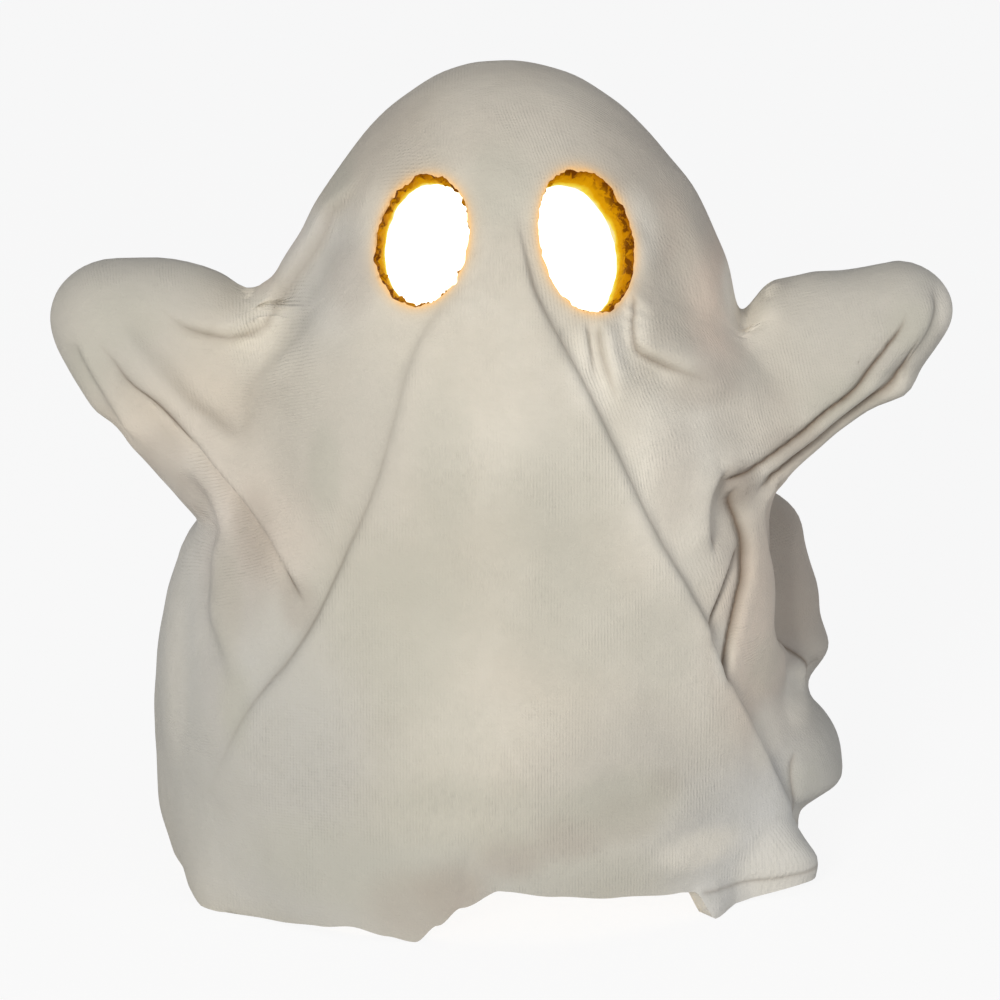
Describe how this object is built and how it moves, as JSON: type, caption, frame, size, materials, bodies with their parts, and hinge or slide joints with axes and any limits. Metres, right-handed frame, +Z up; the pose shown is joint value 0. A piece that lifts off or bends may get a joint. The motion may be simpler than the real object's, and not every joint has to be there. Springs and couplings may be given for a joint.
{
  "type": "ghost lantern figure",
  "caption": "Hollow ceramic ghost with raised arms and two glowing eye holes, standing over a battery tea light that lights it from inside.",
  "frame": {"origin": "on the table, at the middle of the tea light's base, under the middle of the ghost's bounding box", "axes": "+Z up, the face looks along -Y, +X to the right as the face is seen"},
  "size_m": [0.1999, 0.1191, 0.181],
  "materials": {
    "ghost_clay": "matte",
    "candle_plastic": "satin",
    "flame_plastic": "satin",
    "lamp_plastic": "gloss",
    "board_green": "satin",
    "chip_black": "matte",
    "screw_steel": "satin",
    "cell_steel": "satin",
    "contact_brass": "satin",
    "switch_steel": "satin",
    "switch_black": "matte",
    "lead_red": "satin",
    "lead_yellow": "satin",
    "lead_black": "satin"
  },
  "bodies": {
    "tea_light": {"candle_cup": "candle_plastic", "flame_lens": "flame_plastic", "led_lamp": "lamp_plastic", "circuit_board": "board_green", "driver_chip": "chip_black", "base_plate": "candle_plastic", "base_screws": "screw_steel", "coin_cell": "cell_steel", "contact_positive": "contact_brass", "contact_negative": "contact_brass", "switch_housing": "switch_steel", "red_lead": "lead_red", "yellow_lead": "lead_yellow", "black_lead": "lead_black"},
    "ghost": {"ghost_shell": "ghost_clay"},
    "switch_slider": {"switch_slider": "switch_black"},
    "battery_door": {"battery_door": "candle_plastic"}
  },
  "joints": [
    {"name": "ghost_lift", "type": "slide", "parent": "tea_light", "child": "ghost", "axis": [0, 0, 1], "range_m": [0, 0.06]},
    {"name": "switch_slide", "type": "slide", "parent": "tea_light", "child": "switch_slider", "axis": [0, 1, 0], "range_m": [0, 0.002]},
    {"name": "door_turn", "type": "hinge", "parent": "tea_light", "child": "battery_door", "pos_m": [0, 0, 0], "axis": [0, 0, 1], "range_deg": [0, 30]}
  ]
}
